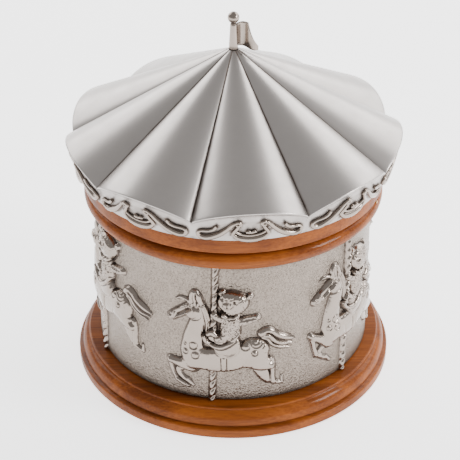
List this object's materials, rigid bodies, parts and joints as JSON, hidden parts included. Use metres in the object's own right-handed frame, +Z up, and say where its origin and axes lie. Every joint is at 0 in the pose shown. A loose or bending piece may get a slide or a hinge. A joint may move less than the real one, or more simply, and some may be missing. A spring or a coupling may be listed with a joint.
{
  "type": "wind-up musical carousel",
  "caption": "Wind-up musical carousel: relief drum and scalloped tent roof turn on a round wooden foot, driven by a geared comb movement wound by a key underneath.",
  "frame": {"origin": "on the axis of rotation, in the plane where the felt meets the table", "axes": "+Z up along the axis of rotation, -Y towards the front relief horse, +X to its right"},
  "size_m": [0.1316, 0.1318, 0.155],
  "materials": {
    "wood": "gloss varnish",
    "felt": "matte",
    "pewter": "satin cast pewter",
    "polished_pewter": "polished pewter with dark patina in the recesses",
    "steel": "satin",
    "spring_steel": "blued",
    "brass": "satin"
  },
  "bodies": {
    "base": {"plinth": "wood", "base_felt": "felt", "bedplate": "steel", "arbor_bush": "brass", "clutch_spring": "spring_steel", "bracket_near": "steel", "bracket_far": "steel", "governor_bracket": "steel", "comb": "spring_steel", "movement_screw_1": "brass", "movement_screw_2": "brass", "movement_screw_3": "brass", "bracket_screw_1": "steel", "bracket_screw_2": "steel", "bracket_screw_3": "steel", "comb_screw_1": "brass", "comb_screw_2": "brass"},
    "key": {"winding_key": "brass", "winding_arbor": "steel"},
    "carousel": {"spring_barrel": "brass", "crown_wheel": "brass", "mainspring": "spring_steel", "barrel_cover": "brass", "output_spindle": "steel", "drum_shell": "pewter", "roof_board": "wood", "ring_pin": "brass", "spindle_washer": "steel", "spindle_nut": "steel", "drum_screw_1": "brass", "drum_screw_2": "brass", "drum_screw_3": "brass", "canopy_screw_1": "brass", "canopy_screw_2": "brass", "canopy_screw_3": "brass", "canopy": "pewter", "finial": "polished_pewter", "finial_nut": "steel", "pennant": "polished_pewter", "horse_relief_1": "polished_pewter", "horse_relief_2": "polished_pewter", "horse_relief_3": "polished_pewter", "horse_relief_4": "polished_pewter", "horse_relief_5": "polished_pewter", "horse_relief_6": "polished_pewter"},
    "cylinder": {"pin_cylinder": "brass", "cylinder_arbor": "steel", "cylinder_pinion": "steel", "cylinder_gear": "brass"},
    "governor": {"governor_arbor": "steel", "governor_pinion": "steel", "worm_wheel": "brass"},
    "fan": {"worm_shaft": "steel", "fan": "brass"}
  },
  "joints": [
    {"name": "key_turn", "type": "hinge", "parent": "base", "child": "key", "pos_m": [0, 0, 0], "axis": [0, 0, 1], "range_deg": [0, 2070]},
    {"name": "carousel_spin", "type": "hinge", "parent": "base", "child": "carousel", "pos_m": [0, 0, 0], "axis": [0, 0, 1], "continuous": true},
    {"name": "cylinder_spin", "type": "hinge", "parent": "base", "child": "cylinder", "pos_m": [0.0177, 0, 0.03087], "axis": [1, 0, 0], "continuous": true},
    {"name": "governor_spin", "type": "hinge", "parent": "base", "child": "governor", "pos_m": [0.0388, 0.01, 0.03087], "axis": [1, 0, 0], "continuous": true},
    {"name": "fan_spin", "type": "hinge", "parent": "base", "child": "fan", "pos_m": [0.0436, 0.01466, 0.03768], "axis": [0, 0, 1], "continuous": true}
  ],
  "couplings": [
    {"joint": "cylinder_spin", "follows": "carousel_spin", "ratio": 4},
    {"joint": "governor_spin", "follows": "carousel_spin", "ratio": -12},
    {"joint": "fan_spin", "follows": "carousel_spin", "ratio": 144}
  ]
}
